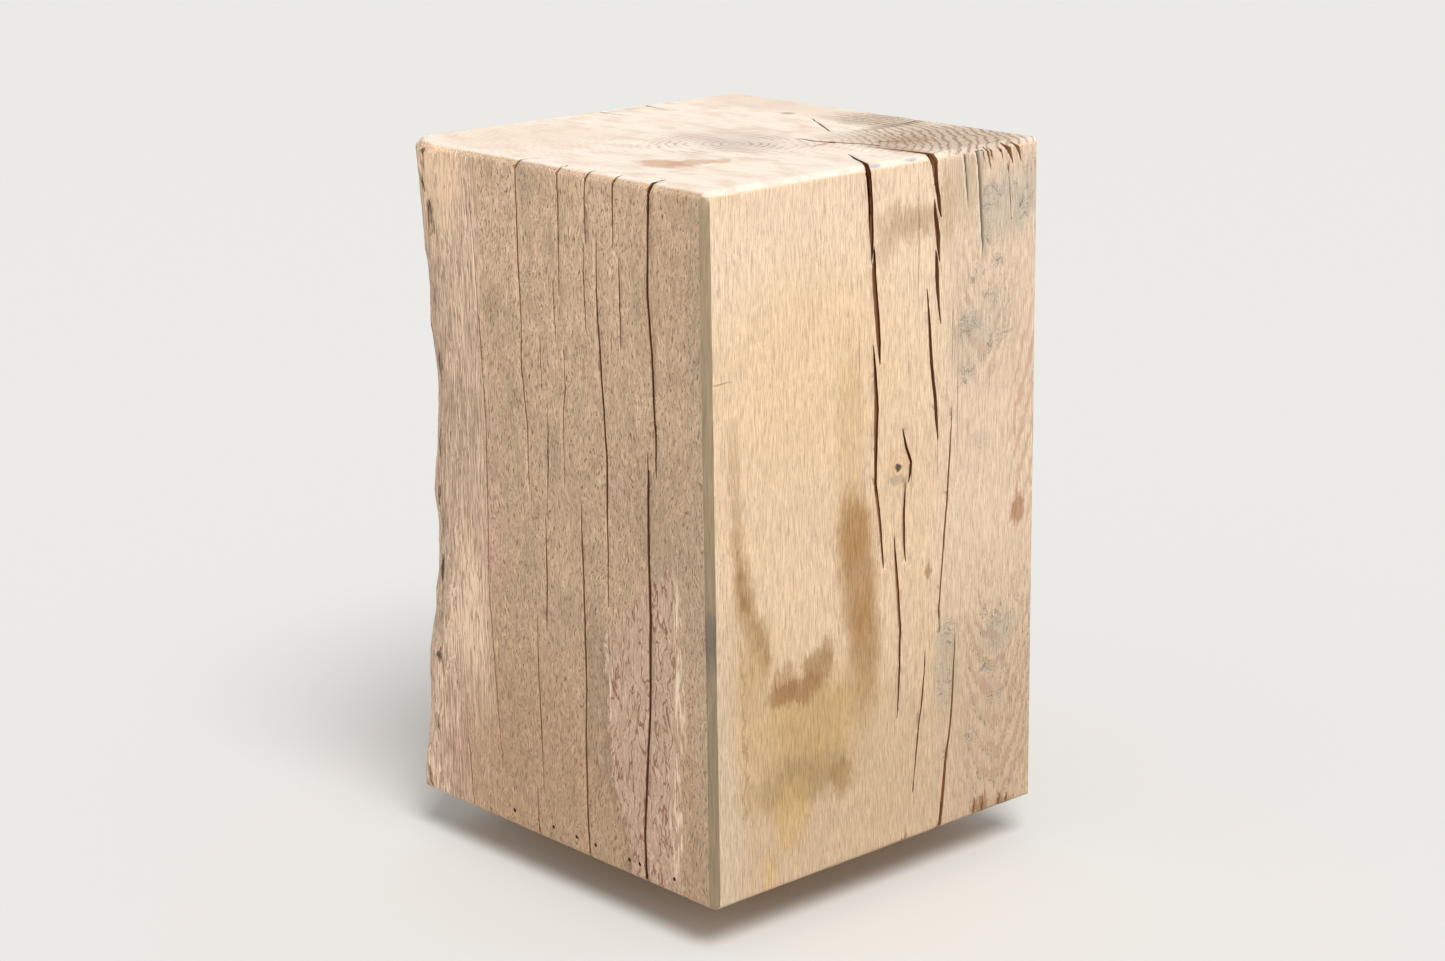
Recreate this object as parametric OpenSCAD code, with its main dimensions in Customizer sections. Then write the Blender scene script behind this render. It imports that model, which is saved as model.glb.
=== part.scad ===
// A squared oak block that serves as a stool or side table.
// It is one sawn length of heartwood: flat sides, planed arrises, one waney corner,
// drying checks that run in from the faces, a heart shake in the top,
// torn-out arrises, old nail holes, and a plain recessed foot left on the underside.
// The checked face looks to -Y, the knotty face to +X, and the waney corner is at -X -Y.

/* [Block] */
// Width of the checked face, along X
block_w = 300; // [240:1:360]
// Width of the knotty face, along Y
block_d = 290; // [240:1:360]
// Height of the squared block above its foot
block_h = 450; // [360:1:560]
// How far the back corner is sawn in from square
back_skew = 8; // [0:1:16]

/* [Edges] */
// Flat planed along the upright edges
upright_flat = 4.5; // [2:0.5:8]
// Flat planed round the top
top_flat = 4; // [2:0.5:8]
// Flat planed round the underside
under_flat = 2; // [1:0.5:5]

/* [Foot] */
// Height of the foot that holds the block clear of the floor
foot_h = 30; // [15:1:50]
// Set-back of the foot from the sides of the block
foot_setback = 60; // [50:1:90]

/* [Wane] */
// Greatest depth of the waney corner, in from the missing sharp edge
wane_depth = 19.5; // [8:0.5:28]

/* [Checks] */
// Widest opening of the checks in the checked face
fine_check_w = 2; // [1:0.1:3.5]
// Greatest depth of the checks in the checked face
fine_check_depth = 26; // [10:1:40]
// Widest opening of the checks in the knotty face
wide_check_w = 5; // [2:0.1:7]
// Greatest depth of the checks in the knotty face
wide_check_depth = 78; // [40:1:90]
// Widest opening of the heart shake in the top
shake_w = 4; // [1.5:0.1:6]
// Greatest depth of the heart shake
shake_depth = 30; // [10:1:50]

/* [Chips] */
// Widest opening of the torn-out chips along the arrises
chip_w = 4.5; // [2:0.1:6]
// Greatest depth of the torn-out chips
chip_depth = 6; // [3:0.5:9]

/* [Nail holes] */
// Diameter of the old nail holes
nail_d = 2.2; // [1.2:0.1:4]
// Depth of the old nail holes
nail_depth = 8; // [3:0.5:20]
// Height of the nail row above the underside of the block
nail_row_h = 10.5; // [6:0.5:25]

/* [Hidden] */
$fn = 32;
overrun = 3;

// Corners of the plan, anticlockwise from the waney one
waney_corner = [-block_w / 2, -block_d / 2];
front_corner = [block_w / 2, -block_d / 2];
right_corner = [block_w / 2, block_d / 2];
back_corner = [-block_w / 2 + back_skew, block_d / 2];
plan = [waney_corner, front_corner, right_corner, back_corner];
top_z = foot_h + block_h;

// The heart that the checks point to, as shares of the plan's width and depth
heart_shares = [0.72, 0.62];
heart = along_plan(heart_shares);

// The wane: its reach along the checked face and along the side face over its depth, the place of
// the tangent that bends it over its depth, the fall of its crown over the top's flat,
// steps along its curve, and [height, depth] shares from the underside up
wane_front_reach_share = 4;
wane_side_reach_share = 1.32;
wane_bend_share = 1.4;
wane_crown_share = 1.4;
wane_curve_shares = [for (step = [1:9]) 0.1 * step];
wane_shares = [
    [0, 0.05], [0.04, 0.08], [0.1, 0.24], [0.16, 0.33], [0.22, 0.37], [0.28, 0.58], [0.35, 0.78],
    [0.41, 0.83], [0.47, 0.79], [0.53, 0.88], [0.62, 1], [0.67, 0.95], [0.72, 0.89], [0.78, 0.87],
    [0.84, 0.73], [0.9, 0.68], [0.95, 0.6], [0.98, 0.56]
];

// Checks: [opening share, depth share, path]. A path runs down the face, and each point of it is
// [share across the face, share up the face, share of the opening there]
checked_face_shares = [
    [0.65, 0.9, [[0.411, 1.03, 0.35], [0.409, 0.985, 0.8], [0.409, 0.91, 1], [0.413, 0.76, 0.7],
        [0.41, 0.71, 0.6], [0.423, 0.62, 0.8], [0.424, 0.52, 0.1]]],
    [0.5, 0.6, [[0.547, 1.03, 0.4], [0.545, 0.985, 0.9], [0.546, 0.95, 1], [0.543, 0.88, 0.7],
        [0.543, 0.82, 0.1]]],
    [0.4, 0.5, [[0.523, 0.84, 0.1], [0.525, 0.8, 1], [0.528, 0.75, 0.1]]],
    [0.4, 0.5, [[0.553, 0.75, 0.1], [0.554, 0.69, 0.9], [0.546, 0.65, 0.8], [0.545, 0.55, 0.1]]],
    [0.45, 0.5, [[0.64, 1.03, 0.4], [0.637, 0.985, 0.9], [0.634, 0.95, 0.8], [0.632, 0.9, 0.1]]],
    [0.65, 0.8, [[0.668, 0.92, 0.1], [0.665, 0.84, 0.7], [0.672, 0.76, 1], [0.685, 0.6, 1],
        [0.682, 0.49, 0.8], [0.678, 0.39, 0.1]]],
    [0.3, 0.3, [[0.626, 0.9, 0.15], [0.625, 0.86, 0.9], [0.628, 0.82, 1], [0.629, 0.775, 0.15]]],
    [0.5, 0.5, [[0.731, 1.03, 0.4], [0.724, 0.985, 0.9], [0.721, 0.9, 0.1]]],
    [0.3, 0.3, [[0.738, 0.89, 0.15], [0.738, 0.85, 0.9], [0.739, 0.81, 1], [0.738, 0.765, 0.15]]],
    [0.3, 0.3, [[0.4755, 0.755, 0.15], [0.476, 0.72, 1], [0.478, 0.675, 0.15]]],
    [0.85, 1, [[0.843, 1.03, 0.35], [0.833, 0.985, 0.85], [0.826, 0.85, 0.9], [0.831, 0.8, 0.8],
        [0.842, 0.66, 0.7], [0.84, 0.6, 0.1]]],
    [1, 1, [[0.815, 0.63, 0.1], [0.816, 0.58, 0.7], [0.813, 0.47, 0.9], [0.815, 0.4, 1],
        [0.805, 0.25, 0.9], [0.786, 0.12, 0.9], [0.782, 0.08, 1], [0.782, -0.03, 1]]],
    [0.5, 0.5, [[0.493, 0.67, 0.1], [0.491, 0.58, 1], [0.483, 0.49, 0.1]]],
    [0.65, 0.6, [[0.477, 0.495, 0.1], [0.475, 0.43, 1], [0.472, 0.37, 0.9], [0.469, 0.32, 0.1]]],
    [0.6, 0.6, [[0.438, 0.34, 0.1], [0.436, 0.26, 1], [0.439, 0.17, 0.9], [0.442, 0.07, 0.1]]],
    [0.5, 0.4, [[0.419, 0.075, 0.1], [0.42, 0.03, 1], [0.421, -0.03, 1]]],
    [0.75, 0.8, [[0.6, 0.53, 0.1], [0.598, 0.47, 0.9], [0.599, 0.36, 1], [0.598, 0.24, 0.9],
        [0.592, 0.16, 0.9], [0.592, 0.08, 0.8], [0.596, -0.03, 0.8]]],
    [0.45, 0.4, [[0.248, 0.96, 0.1], [0.264, 0.78, 0.7], [0.279, 0.61, 1], [0.272, 0.43, 0.9],
        [0.268, 0.37, 0.8], [0.285, 0.2, 1], [0.297, 0.08, 0.1]]],
    [0.45, 0.4, [[0.169, 0.16, 0.1], [0.179, 0.08, 1], [0.188, -0.03, 1]]]
];
knotty_face_shares = [
    [0.85, 0.77, [[0.455, 1.03, 0.5], [0.4615, 0.99, 0.85], [0.4635, 0.976, 0.95], [0.4685, 0.948, 0.85],
        [0.472, 0.907, 0.7], [0.4735, 0.88, 0.35], [0.4735, 0.862, 0.06]]],
    [0.7, 0.6, [[0.4805, 0.886, 0.06], [0.479, 0.868, 0.6], [0.4795, 0.85, 0.85], [0.482, 0.83, 0.9],
        [0.488, 0.79, 1], [0.4935, 0.749, 0.8], [0.497, 0.719, 0.06]]],
    [0.6, 0.4, [[0.477, 0.75, 0.08], [0.482, 0.711, 0.6], [0.487, 0.656, 1], [0.484, 0.6, 0.9],
        [0.483, 0.549, 0.7], [0.494, 0.504, 0.6], [0.51, 0.424, 0.08]]],
    [1.1, 0.78, [[0.655, 1.03, 1], [0.6615, 1.001, 0.98], [0.6638, 0.9815, 0.8], [0.6667, 0.959, 0.6],
        [0.6745, 0.937, 0.55], [0.679, 0.922, 0.45], [0.6839, 0.9096, 0.05]]],
    [0.75, 0.6, [[0.6618, 0.937, 0.08], [0.6652, 0.9185, 0.6], [0.6695, 0.9, 0.95], [0.6733, 0.8815, 1],
        [0.6759, 0.863, 0.6], [0.6796, 0.8463, 0.06]]],
    [0.7, 0.6, [[0.6667, 0.8648, 0.08], [0.669, 0.8519, 0.75], [0.6707, 0.8352, 1], [0.6735, 0.8074, 0.7],
        [0.6776, 0.7833, 0.4], [0.6839, 0.7574, 0.06]]],
    [0.45, 0.35, [[0.64, 0.813, 0.08], [0.649, 0.76, 0.8], [0.655, 0.716, 0.9], [0.671, 0.622, 1],
        [0.676, 0.59, 0.08]]],
    [0.36, 0.25, [[0.568, 0.62, 0.08], [0.579, 0.591, 1], [0.593, 0.569, 1], [0.591, 0.553, 1],
        [0.586, 0.54, 0.1]]],
    [0.32, 0.25, [[0.576, 0.54, 0.1], [0.572, 0.493, 1], [0.572, 0.46, 0.9], [0.576, 0.424, 0.08]]],
    [0.36, 0.3, [[0.543, 0.467, 0.08], [0.547, 0.422, 0.9], [0.554, 0.367, 1], [0.56, 0.322, 0.9],
        [0.559, 0.271, 0.7], [0.551, 0.193, 0.08]]],
    [0.26, 0.25, [[0.719, 0.633, 0.08], [0.714, 0.567, 0.8], [0.707, 0.504, 1], [0.698, 0.444, 0.9],
        [0.682, 0.338, 0.7], [0.686, 0.304, 0.08]]],
    [0.2, 0.2, [[0.639, 0.282, 0.1], [0.63, 0.211, 1], [0.617, 0.156, 0.8], [0.599, 0.071, 0.1]]],
    [0.6, 0.4, [[0.736, 0.293, 0.06], [0.729, 0.227, 0.45], [0.721, 0.156, 0.5], [0.708, 0.111, 0.7],
        [0.697, 0.06, 0.9], [0.683, -0.03, 1]]],
    [0.14, 0.12, [[0.896, 0.95, 0.1], [0.9, 0.932, 1], [0.9035, 0.912, 0.9], [0.907, 0.88, 0.1]]]
];
back_face_shares = [
    [0.4, 0.35, [[0.367, 1.03, 1], [0.363, 0.93, 0.8], [0.37, 0.82, 0.5], [0.366, 0.7, 0.06]]],
    [0.3, 0.25, [[0.32, 1.03, 1], [0.316, 0.95, 0.7], [0.321, 0.86, 0.06]]]
];
side_face_shares = [
    [0.25, 0.45, [[0.438, 1.03, 1], [0.441, 0.9, 0.8], [0.436, 0.78, 0.06]]],
    [0.25, 0.42, [[0.293, 1.03, 1], [0.297, 0.92, 0.8], [0.292, 0.84, 0.06]]]
];

// Shakes in the top: the path's points are [share along X, share along Y, share of the opening there]
top_shares = [
    [1, 1, [[0.633, 0.61, 0.1], [0.69, 0.61, 0.8], [0.74, 0.628, 1], [0.787, 0.652, 0.7], [0.84, 0.66, 0.3]]],
    [0.4, 0.5, [[0.735, 0.62, 0.8], [0.734, 0.59, 0.6], [0.733, 0.562, 0.1]]],
    [0.25, 0.3, [[0.787, 0.69, 0.1], [0.833, 0.755, 1], [0.89, 0.807, 0.1]]],
    [0.25, 0.3, [[0.457, 0.831, 0.1], [0.55, 0.772, 1], [0.617, 0.731, 0.1]]]
];

// Chips torn out of the top and bottom arrises of the knotty face, written as the checks are
chip_shares = [
    [0.3, 0.5, [[0.811, 1.01, 1], [0.816, 0.99, 0.8], [0.819, 0.974, 0.1]]],
    [0.4, 0.7, [[0.8215, 1.01, 1], [0.832, 0.982, 0.8], [0.8405, 0.962, 0.1]]],
    [0.4, 0.6, [[0.8335, 1.01, 1], [0.8395, 0.989, 0.8], [0.8435, 0.975, 0.1]]],
    [0.35, 0.5, [[0.864, 1.01, 1], [0.872, 0.985, 0.7], [0.879, 0.97, 0.1]]],
    [1, 1, [[0.883, 1.01, 1], [0.896, 0.989, 0.9], [0.9095, 0.968, 0.1]]],
    [0.3, 0.5, [[0.892, 0.97, 0.1], [0.8935, 0.962, 1], [0.895, 0.953, 0.1]]],
    [0.8, 0.9, [[0.913, 1.01, 1], [0.926, 0.989, 0.85], [0.937, 0.968, 0.1]]],
    [0.4, 0.5, [[0.804, 0.03, 0.1], [0.802, 0.016, 0.7], [0.8, -0.01, 1]]],
    [0.7, 0.7, [[0.832, 0.026, 0.1], [0.83, 0.012, 0.6], [0.826, -0.01, 1]]],
    [0.7, 0.6, [[0.889, 0.02, 0.1], [0.888, 0.012, 0.5], [0.884, -0.01, 1]]],
    [0.5, 0.5, [[0.914, 0.018, 0.1], [0.912, 0.01, 0.5], [0.912, -0.01, 1]]]
];

// A chip out of the top arris at the back
back_chip_shares = [
    [2.9, 0.9, [[0.343, 1.01, 1], [0.343, 0.994, 0.85], [0.341, 0.978, 0.1]]]
];

// Nail holes along the foot of the checked face, as shares of its width
nail_shares = [0.333, 0.47, 0.55, 0.615, 0.727, 0.76, 0.873];

// A point of the plan from its shares of the width and depth
function along_plan(shares) =
    [(shares[0] - 0.5) * block_w, (shares[1] - 0.5) * block_d];

// A point on the upright face between two corners of the plan
function on_face(from, to, point) =
    let (foot_point = from + (to - from) * point[0])
    [foot_point[0], foot_point[1], foot_h + point[1] * block_h];

// A level direction as a vector of length one
function level_unit(vector) = [vector[0], vector[1], 0] / norm([vector[0], vector[1]]);

// The direction of a path at one of its points
function path_direction(points, i) =
    level_unit(points[min(i + 1, len(points) - 1)] - points[max(i - 1, 0)]);

// One level section of the wane: a curve from the checked face to the side face, closed outside the block
function wane_section(depth, z) =
    let (
        front_end = waney_corner + [wane_front_reach_share * depth, 0],
        side_end = waney_corner + [0, wane_side_reach_share * depth],
        bend = waney_corner + [wane_bend_share * depth, 0],
        curve = [for (share = wane_curve_shares)
            (1 - share)^2 * front_end + 2 * share * (1 - share) * bend + share^2 * side_end],
        outline = concat(
            [2 * front_end - curve[0]],
            curve,
            [2 * side_end - curve[len(curve) - 1]],
            [waney_corner - [overrun, overrun]]
        )
    )
    [for (point = outline) [point[0], point[1], z]];

// Skin through level sections that all have the same number of points
module loft(sections) {
    sides = len(sections[0]);
    last = len(sections) - 1;
    polyhedron(
        points = [for (section = sections) each section],
        faces = concat(
            [[for (k = [0:sides - 1]) k]],
            [[for (k = [sides - 1:-1:0]) last * sides + k]],
            [for (i = [0:last - 1], k = [0:sides - 1]) each [
                [i * sides + k, (i + 1) * sides + k, (i + 1) * sides + (k + 1) % sides],
                [i * sides + k, (i + 1) * sides + (k + 1) % sides, i * sides + (k + 1) % sides]]]
        )
    );
}

// A split that is open at the surface and closes to a line inside.
// Each station is [middle of the mouth, half of the mouth, way in to the closed end].
module split(stations) {
    loft([for (station = stations)
        let (past = overrun / norm(station[2]))
        [
            station[0] - station[2] * past - station[1] * (1 + past),
            station[0] + station[2],
            station[0] - station[2] * past + station[1] * (1 + past)
        ]]);
}

// Checks or chips in an upright face, leaning in towards the heart
module face_splits(from, to, rows, opening, depth) {
    across = level_unit(to - from);
    for (row = rows) {
        split([for (point = row[2])
            let (mouth = on_face(from, to, point))
            [
                mouth,
                across * opening * row[0] * point[2] / 2,
                level_unit(heart - [mouth[0], mouth[1]]) * depth * row[1] * point[2]
            ]]);
    }
}

// Shakes in the top, straight down into the end grain
module top_splits(rows) {
    for (row = rows) {
        points = [for (point = row[2]) along_plan(point)];
        split([for (i = [0:len(points) - 1])
            let (ahead = path_direction(points, i), share = row[2][i][2])
            [
                [points[i][0], points[i][1], top_z],
                [-ahead[1], ahead[0], 0] * shake_w * row[0] * share / 2,
                [0, 0, -shake_depth * row[1] * share]
            ]]);
    }
}

// The wane, with a crown where it meets the top
module wane() {
    top_depth = wane_depth * wane_shares[len(wane_shares) - 1][1];
    crown = top_flat * wane_crown_share;
    loft(concat(
        [wane_section(wane_depth * wane_shares[0][1], foot_h - overrun)],
        [for (row = wane_shares) wane_section(wane_depth * row[1], foot_h + block_h * row[0])],
        [
            wane_section(top_depth, top_z - crown),
            wane_section(top_depth + crown + overrun, top_z + overrun)
        ]
    ));
}

// A square bar laid along a level edge, which takes off a flat of the given leg
module level_flat(from, to, z, leg) {
    run = to - from;
    middle = (from + to) / 2;
    translate([middle[0], middle[1], z])
        rotate([0, 0, atan2(run[1], run[0])])
            rotate([45, 0, 0])
                cube([norm(run) + 2 * overrun, leg * sqrt(2), leg * sqrt(2)], center = true);
}

// A square bar stood along an upright edge
module upright_edge_flat(corner) {
    translate([corner[0], corner[1], foot_h + block_h / 2])
        rotate([0, 0, 45])
            cube([upright_flat * sqrt(2), upright_flat * sqrt(2), block_h + 2 * overrun], center = true);
}

// The flats along two opposite sides of the plan, round the top and the underside
module side_flats(first) {
    for (i = [first, first + 2]) {
        level_flat(plan[i], plan[(i + 1) % len(plan)], top_z, top_flat);
        level_flat(plan[i], plan[(i + 1) % len(plan)], foot_h, under_flat);
    }
}

// The flats along every upright arris but the waney one
module upright_flats() {
    for (corner = [front_corner, right_corner, back_corner]) {
        upright_edge_flat(corner);
    }
}

// A row of old nail holes near the foot of the checked face
module nail_holes() {
    for (share = nail_shares) {
        translate([(share - 0.5) * block_w, waney_corner[1] - overrun, foot_h + nail_row_h])
            rotate([-90, 0, 0])
                cylinder(d = nail_d, h = nail_depth + overrun);
    }
}

// The foot, in one with the block
module foot() {
    foot_w = block_w - 2 * foot_setback;
    foot_d = block_d - 2 * foot_setback;
    translate([-foot_w / 2, -foot_d / 2, 0])
        cube([foot_w, foot_d, foot_h + overrun]);
}

// The sawn blank: the squared length with its foot
module sawn_blank() {
    translate([0, 0, foot_h])
        linear_extrude(block_h)
            polygon(plan);
    foot();
}

// One stage of the work: the first child with the second one taken off
module less() {
    difference() {
        children(0);
        children(1);
    }
}

module planed_blank() {
    less() {
        less() {
            less() {
                sawn_blank();
                side_flats(0);
            }
            side_flats(1);
        }
        upright_flats();
    }
}

module waney_blank() {
    less() {
        planed_blank();
        wane();
    }
}

module front_checked_blank() {
    less() {
        waney_blank();
        face_splits(waney_corner, front_corner, checked_face_shares, fine_check_w, fine_check_depth);
    }
}

module checked_blank() {
    less() {
        front_checked_blank();
        face_splits(front_corner, right_corner, knotty_face_shares, wide_check_w, wide_check_depth);
    }
}

module shaken_blank() {
    less() {
        checked_blank();
        top_splits(top_shares);
    }
}

module wood_block() {
    color("burlywood")
    difference() {
        shaken_blank();
        face_splits(right_corner, back_corner, back_face_shares, wide_check_w, wide_check_depth);
        face_splits(back_corner, waney_corner, side_face_shares, wide_check_w, wide_check_depth);
        face_splits(front_corner, right_corner, chip_shares, chip_w, chip_depth);
        face_splits(right_corner, back_corner, back_chip_shares, chip_w, chip_depth);
        nail_holes();
    }
}

wood_block();
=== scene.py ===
# %% [markdown]
# # A squared oak block
# The object is one sawn length of oak that stands on end as a stool or side table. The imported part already
# holds its true form: the planed arrises, the waney corner, the drying checks, the torn arrises, the nail
# holes and the recessed foot. This lesson refines that form into a worn piece of timber, paints it with
# one procedural oak finish, and sets it on a pale floor under soft light.

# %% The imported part
import math
import bmesh
import bpy
from mathutils import Matrix, Vector, noise
from mathutils.bvhtree import BVHTree


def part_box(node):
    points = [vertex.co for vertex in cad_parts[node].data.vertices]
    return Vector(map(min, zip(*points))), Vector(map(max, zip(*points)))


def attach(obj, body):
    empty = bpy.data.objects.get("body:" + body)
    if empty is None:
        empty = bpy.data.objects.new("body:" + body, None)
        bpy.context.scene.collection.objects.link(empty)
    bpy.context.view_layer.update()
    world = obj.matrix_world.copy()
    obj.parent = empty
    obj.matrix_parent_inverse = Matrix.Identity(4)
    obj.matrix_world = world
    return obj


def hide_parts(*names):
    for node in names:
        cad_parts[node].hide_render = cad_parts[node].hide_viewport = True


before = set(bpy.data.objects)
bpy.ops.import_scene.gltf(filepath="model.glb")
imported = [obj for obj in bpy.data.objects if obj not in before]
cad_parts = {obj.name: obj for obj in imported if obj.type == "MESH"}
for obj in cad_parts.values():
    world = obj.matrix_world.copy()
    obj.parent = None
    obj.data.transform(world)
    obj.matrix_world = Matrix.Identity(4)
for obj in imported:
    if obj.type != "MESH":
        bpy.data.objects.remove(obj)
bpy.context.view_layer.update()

low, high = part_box("wood_block")
print("packed box in metres:", [round(c, 4) for c in low], [round(c, 4) for c in high])

# %% [markdown]
# ## The block's own measures
# Every later step places things by the block's faces, so the few sizes that the box alone doesn't give are
# named here once, in metres. The checked face looks to -Y, the knotty face to +X, and the waney corner is
# where the -X and -Y faces would meet. The wane runs far over the checked face and only a little way over
# the -X face. All the checks close towards the heart of the log.

# %% Measures
MM = 0.001
FOOT_H = 30 * MM
ARRIS = 4.5 * MM
WANE_DEPTH = 19.5 * MM
WANE_FRONT = 4 * WANE_DEPTH
WANE_SIDE = 1.32 * WANE_DEPTH
HEART = Vector((66 * MM, 35 * MM, 0))
half_w = high.x
half_d = high.y
top_z = high.z
block_h = top_z - FOOT_H
print("block in millimetres:", round(2e3 * half_w), round(2e3 * half_d), round(1e3 * block_h))

# %% [markdown]
# ## A copy of the part that can be worked
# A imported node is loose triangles, one patch for each flat, and it must stay as it is. So the block starts
# as a copy of it. Merging the doubled vertices turns the patches into one closed skin, and then knife cuts
# with `bisect_plane` lay a net over every face. The cuts are a few millimetres apart, and closer along the
# arrises, at the waney corner and where the knotty face is torn, because the next steps bend the skin there
# and need vertices to bend. A voxel remesh would also give an even net, but it would swallow the checks,
# which are thinner than any affordable voxel. Two vertex attributes are set up for the finish to read later.

# %% The net of cuts
CUT_STEP = 6 * MM
RIM_CUTS = [1.2 * MM, 2.6 * MM, 5.5 * MM, 8 * MM]
MERGE = 0.002 * MM


def cut_places(start, end):
    """Places for knife cuts from start to end: a close set at both rims and an even one between them."""
    rim = RIM_CUTS[-1]
    count = round((end - start - 2 * rim) / CUT_STEP)
    middle = [start + rim + (end - start - 2 * rim) * i / count for i in range(1, count)]
    return [start + c for c in RIM_CUTS] + middle + [end - c for c in RIM_CUTS]


block = bmesh.new()
block.from_mesh(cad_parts["wood_block"].data)
bmesh.ops.remove_doubles(block, verts=block.verts, dist=MERGE)
FRONT_CUTS = [c * MM - half_w for c in range(10, 80, 4)]
SIDE_CUTS = [c * MM - half_d for c in range(10, 30, 3)]
STEP_CUTS = [u * MM - half_d for u in range(216, 246)]
cuts = {
    (1, 0, 0): cut_places(-half_w, half_w) + FRONT_CUTS,
    (0, 1, 0): cut_places(-half_d, half_d) + SIDE_CUTS + STEP_CUTS,
    (0, 0, 1): cut_places(FOOT_H, top_z),
}
for normal, places in cuts.items():
    for place in places:
        bmesh.ops.bisect_plane(
            block, geom=block.verts[:] + block.edges[:] + block.faces[:], dist=MERGE,
            plane_co=Vector(normal) * place, plane_no=normal)
# The tear attribute carries the painted highlight and shade of the torn steps.
for name in ("depth", "tear"):
    block.verts.layers.float.new(name)
depth_layer = block.verts.layers.float["depth"]
step_light_layer = block.verts.layers.float["tear"]
open_edges = sum(not edge.is_manifold for edge in block.edges)
print("net:", len(block.verts), "vertices,", len(block.faces), "faces,", open_edges, "open edges")

# %% [markdown]
# ## How deep each point lies in a check
# The finish has to know where the skin ends and a check begins, because it paints shade into the splits. The
# convex hull of the block is the skin it had before it dried, so a vertex's distance to that hull is its
# depth in a check. It is kept as a vertex attribute, in millimetres. The waney corner is hollow too, but it
# is bark side and not a split, so it counts as skin.
#
# An old check is choked with dust and splinters a few millimetres in. So the walls past that depth are drawn
# out towards the mouth, which lays a floor across the check. The way out is away from the heart. The fine
# checks, in the checked face and in the lower half, are choked sooner. Sanding has filled those in the top
# almost to the brim.

# %% Depth in the checks
CHOKE = 3.2 * MM
FINE_CHOKE = 1.5 * MM
FINE_BELOW = FOOT_H + 240 * MM
TOP_CHOKE = 1.2 * MM
NAIL_BAND = 16 * MM
RIM_BAND = 8 * MM
FACING = 0.7
OUTWARD = 0.5
WANE_LOW = 0.35
WANE_RISE = (60 * MM, 100 * MM)
BARK_SIDE = (10 * MM, 45 * MM)
BARK_SHARE = 0.06


def rise(share):
    """A smooth rise from 0 to 1 over the same range."""
    share = min(max(share, 0), 1)
    return share * share * (3 - 2 * share)


def wane_share(place):
    """How far a place lies into the waney corner: 0 or less outside it, and 1 at the corner itself."""
    start, length = WANE_RISE
    fade = WANE_LOW + (1 - WANE_LOW) * rise((place.z - FOOT_H - start) / length)
    return 1 - (place.x + half_w) / (WANE_FRONT * fade) - (place.y + half_d) / (WANE_SIDE * fade)


def by_bark(place):
    """Whether a place is in the waney corner or just round it on the -X face, where there are no checks."""
    round_it = place.x + half_w < BARK_SIDE[0] and place.y + half_d < BARK_SIDE[1]
    return round_it or wane_share(place) > BARK_SHARE


def way_out(place, normal):
    """The way out of a check and the depth at which it is choked: straight up in the top, and away from the
    heart in a side. Next to the rim and low down, where the chips and nail holes are, nothing is choked."""
    to_side = min(half_w - abs(place.x), half_d - abs(place.y))
    if normal.z > FACING and to_side > RIM_BAND:
        return normal, TOP_CHOKE
    out = Vector((place.x - HEART.x, place.y - HEART.y, 0)).normalized()
    if out.dot(normal) > OUTWARD and place.z > FOOT_H + NAIL_BAND:
        fine = normal.y < -FACING or place.z < FINE_BELOW
        return out, FINE_CHOKE if fine else CHOKE
    return normal, math.inf


skin = bmesh.new()
for vert in block.verts:
    if vert.co.z > FOOT_H - MERGE:
        skin.verts.new(vert.co)
bmesh.ops.convex_hull(skin, input=skin.verts)
hull = BVHTree.FromBMesh(skin)
for vert in block.verts:
    if vert.co.z > FOOT_H - MERGE and not by_bark(vert.co):
        nearest, normal, face_index, distance = hull.find_nearest(vert.co)
        vert[depth_layer] = distance / MM
        way, choke = way_out(vert.co, normal)
        if distance > choke:
            vert.co += way * ((distance - choke) / way.dot(normal))
skin.free()
print("deepest check in millimetres:", round(max(vert[depth_layer] for vert in block.verts), 1))

# %% [markdown]
# ## Worn arrises
# The planed arrises of the real block are a little rounded by handling. The top of the waney corner is worn
# rounder, so it gets more passes. The upright arrises keep their planed flats, which show as crisp strips.

# %% Rounded arrises
ARRIS_BAND = 6 * MM
CROWN_BAND = 16 * MM
RIM_PASSES = 2
CROWN_PASSES = 4
RELAX = 0.4


def at_rim(place):
    """Whether a place lies on a level arris, round the top or round the underside."""
    beside = min(half_w - abs(place.x), half_d - abs(place.y)) < ARRIS_BAND
    return beside and min(top_z - place.z, abs(place.z - FOOT_H)) < ARRIS_BAND


rim_verts = [vert for vert in block.verts if at_rim(vert.co)]
crown_verts = [vert for vert in block.verts if wane_share(vert.co) > 0 and top_z - vert.co.z < CROWN_BAND]
for verts, passes in ((rim_verts, RIM_PASSES), (crown_verts, CROWN_PASSES)):
    for wear in range(passes):
        bmesh.ops.smooth_vert(
            block, verts=verts, factor=RELAX, use_axis_x=True, use_axis_y=True, use_axis_z=True)
print("vertices rounded:", len(rim_verts), "round the rims,", len(crown_verts), "on the waney crown")

# %% [markdown]
# ## Grain wander, hollows and wane
# A split follows the grain, so its mouth is never straight. One smooth noise field carries the vertices
# sideways, fading out at the faces they would leave, so that the faces stay flat and the checks turn wavy.
# A second field sinks the skin a little, as a hand-sanded face is never quite flat, and a third makes the
# waney corner lumpy, with lumps drawn out along the trunk. The lumps may rise as well as sink, because the
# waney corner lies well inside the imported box. Blender's vector noise starts from the clock unless it has a
# seed, so it is given one, and every run makes the same block.

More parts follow.
